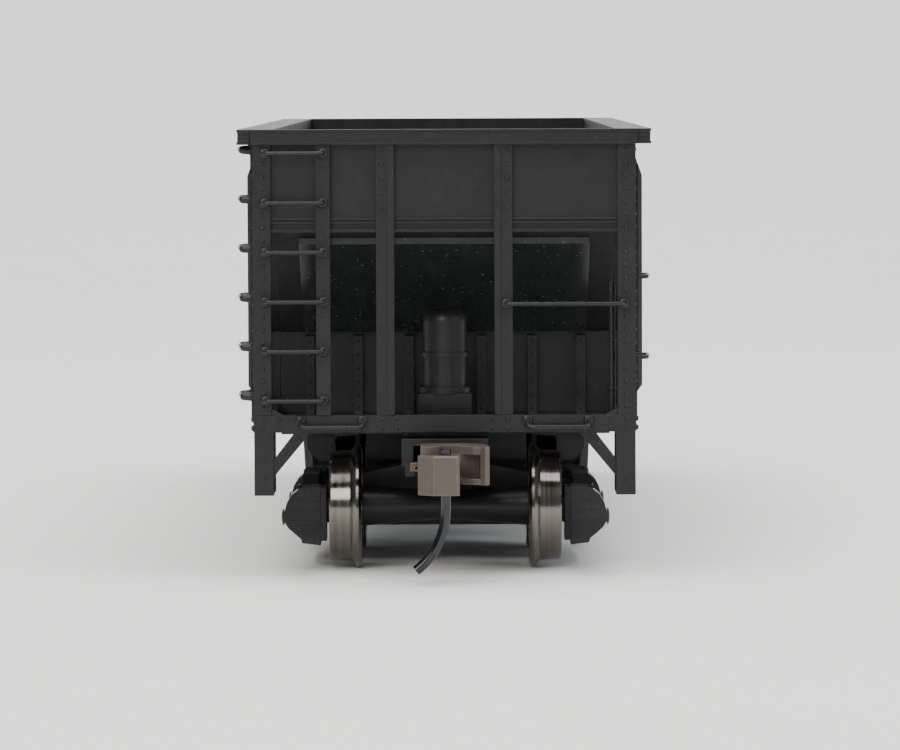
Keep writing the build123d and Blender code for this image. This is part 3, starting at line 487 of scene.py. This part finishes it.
def bay_details():
    """Hinge sleeves over the doors and rivets round the chutes' outer plates."""
    trim = Trim()
    for side in (-1, 1):
        for x in (4.4, 7.9, 11.4):
            sleeve = [(0.3, -0.55), (0.52, -0.55), (0.52, 0.55), (0.3, 0.55)]
            trim.lathe((side * x, -10.7, 12.7), (1, 0, 0), sleeve, 12)
        for y in steps(-29.0, -13.0, 1.6):
            trim.rivet((side * 14.5, y, 13.2), (side, 0, 0), SMALL_RIVET, SMALL_RIVET_SIDES)
    return trim


def truck_details():
    """Coil springs, lid bosses, hinges and inner collars on the axle boxes, and side frame bolts."""
    trim = Trim()
    for side in (-1, 1):
        out = (side, 0, 0)
        for y in (-1.45, 0, 1.45):
            for z in steps(2.85, 4.05, 0.4):
                trim.ring((side * SPRING_X, -TRUCK_Y + y, z), (0, 0, 1), 0.56, 0.13)
        for end in (-1, 1):
            y = -TRUCK_Y + end * WHEELBASE / 2
            hinge = [(0.05, -0.75), (0.22, -0.75), (0.22, 0.75), (0.05, 0.75)]
            trim.lathe((side * 12.75, y, 7.05), (0, 1, 0), hinge, 10)
            trim.lathe((side * 14.1, y, 4.42), out, [(0.75, 0), (0.7, 0.14), (0.35, 0.22), (0.1, 0.24)], 16)
            for z in (2.75, 3.2, 3.65, 4.1):
                reach = 12.55 + 0.9 * (z - 2.75)
                trim.strip((side * BOX_IN_X, y - 1.62, z), (side * reach, y + 1.62, z + 0.15))
            for z in (5.0, 5.9):
                trim.strip((side * BOX_IN_X, y - 1.6, z), (side * 13.3, y + 1.6, z + 0.1))
            for low, high in ((2.45, 4.25), (6.65, 7.10)):
                trim.strip((side * COLLAR_X[0], y - 1.5, low), (side * COLLAR_X[1], y + 1.5, high))
            for edge in (-1.5, 1.2):
                low = (side * COLLAR_X[0], y + edge, 4.25)
                high = (side * COLLAR_X[1], y + edge + 0.3, 6.65)
                trim.strip(low, high)
            for along, z in ((3.15, 5.6), (7.45, 5.6), (7.45, 4.2)):
                trim.bolt((side * FRAME_BOLT_X, -TRUCK_Y + end * along, z), out, 0.2, 0.18)
    return trim


def pipe_details():
    """Clips round the pipe beside the A end's corner post."""
    trim = Trim()
    for z in (16.0, 20.2, 24.4):
        trim.ring((14.35, -END_Y + 1.9, z), (0, 0, 1), 0.27, 0.09)
    return trim


def brake_details():
    """Bolts at the corners of the B end's gear case, and clips on the hand-brake rod."""
    trim = Trim()
    for side in (-1, 1):
        for z in (31.4, 34.35):
            trim.bolt((side * 1.15, 61.9, z), (0, 1, 0), 0.16, 0.16)
    for z in (17.0, 22.0, 27.0):
        trim.ring((0, END_Y + 0.55, z), (0, 0, 1), 0.30, 0.10)
    return trim


def add_details():
    end_trim = end_details()
    bulkhead_trim = bulkhead_details()
    bay_trim = bay_details()
    truck_trim = truck_details()
    ladder_trim = ladder_details()
    for end, turned in (("a", False), ("b", True)):
        end_trim.build(f"end_rivets_{end}", "car", "body_plastic", turned)
        bulkhead_trim.build(f"bulkhead_rivets_{end}", "car", "body_plastic", turned)
        ladder_trim.build(f"rung_bosses_{end}", "car", "detail_plastic", turned)
        bay_trim.build(f"bay_hinges_{end}", "car", "body_plastic", turned)
        truck_trim.build(f"truck_springs_{end}", f"truck_{end}", "truck_plastic", turned)
    side_trim = side_details()
    side_trim.build("side_rivets_left", "car", "body_plastic")
    side_trim.build("side_rivets_right", "car", "body_plastic", turned=True)
    pipe_details().build("pipe_clips", "car", "detail_plastic")
    brake_details().build("brake_bolts", "car", "detail_plastic")


# --- Stage ------------------------------------------------------------------

def stage():
    """A pale paper floor that sweeps up behind the car."""
    half = 1.6
    back = 1.2
    rise = 0.8
    sweep = 0.5
    segments = 12
    profile = [(-half, 0.0), (back, 0.0)]
    for count in range(1, segments + 1):
        angle = count / segments * pi / 2
        profile.append((back + sweep * sin(angle), sweep - sweep * cos(angle)))
    profile.append((back + sweep, sweep + rise))
    mesh = bpy.data.meshes.new("floor")
    vertices = [(x, y, z) for y, z in profile for x in (-half, half)]
    faces = [(i, i + 1, i + 3, i + 2) for i in range(0, len(vertices) - 2, 2)]
    mesh.from_pydata(vertices, [], faces)
    floor = bpy.data.objects.new("floor", mesh)
    bpy.context.scene.collection.objects.link(floor)
    for polygon in mesh.polygons:
        polygon.use_smooth = True
    paper = Shader("paper")
    paper.put("Base Color", paper.mix(paper.noise(30, 4), (0.83, 0.83, 0.82), (0.87, 0.87, 0.86)))
    paper.put("Roughness", 0.85)
    mesh.materials.append(paper.material)


def lamp(name, place, aim, size, power, colour=(1, 1, 1)):
    light = bpy.data.lights.new(name, "AREA")
    light.shape = "RECTANGLE"
    light.size, light.size_y = size
    light.energy = power
    light.color = colour
    lamp_object = bpy.data.objects.new(name, light)
    lamp_object.location = place
    direction = Vector(aim) - Vector(place)
    lamp_object.rotation_euler = direction.to_track_quat("-Z", "Y").to_euler()
    bpy.context.scene.collection.objects.link(lamp_object)


def lights():
    world = bpy.data.worlds.new("studio")
    world.use_nodes = True
    world.node_tree.nodes["Background"].inputs["Color"].default_value = (0.86, 0.90, 0.95, 1)
    world.node_tree.nodes["Background"].inputs["Strength"].default_value = 0.30
    bpy.context.scene.world = world
    lamp("overhead", (0.0, -0.10, 0.62), (0, 0, 0.02), (0.7, 0.7), 7.0, (1.0, 0.99, 0.97))
    lamp("front", (-0.28, -0.75, 0.42), (0, -0.06, 0.02), (0.5, 0.35), 4.0, (1.0, 0.98, 0.95))
    lamp("backdrop", (0.0, 0.70, 1.15), (0, 1.60, 0.30), (2.0, 0.5), 26.0)
    lamp("side", (0.65, -0.25, 0.35), (0, 0, 0.02), (0.4, 0.4), 2.2, (0.95, 0.98, 1.0))


def camera():
    data = bpy.data.cameras.new("camera")
    data.lens = LENS
    data.sensor_width = SENSOR
    data.clip_start = 0.01
    eye = bpy.data.objects.new("camera", data)
    turn = (Matrix.Rotation(YAW, 4, "Z") @ Matrix.Rotation(pi / 2 - PITCH, 4, "X")
            @ Matrix.Rotation(ROLL, 4, "Z"))
    eye.matrix_world = Matrix.Translation(EYE) @ turn
    bpy.context.scene.collection.objects.link(eye)
    bpy.context.scene.camera = eye


dress_frame()
add_details()
stage()
lights()
camera()
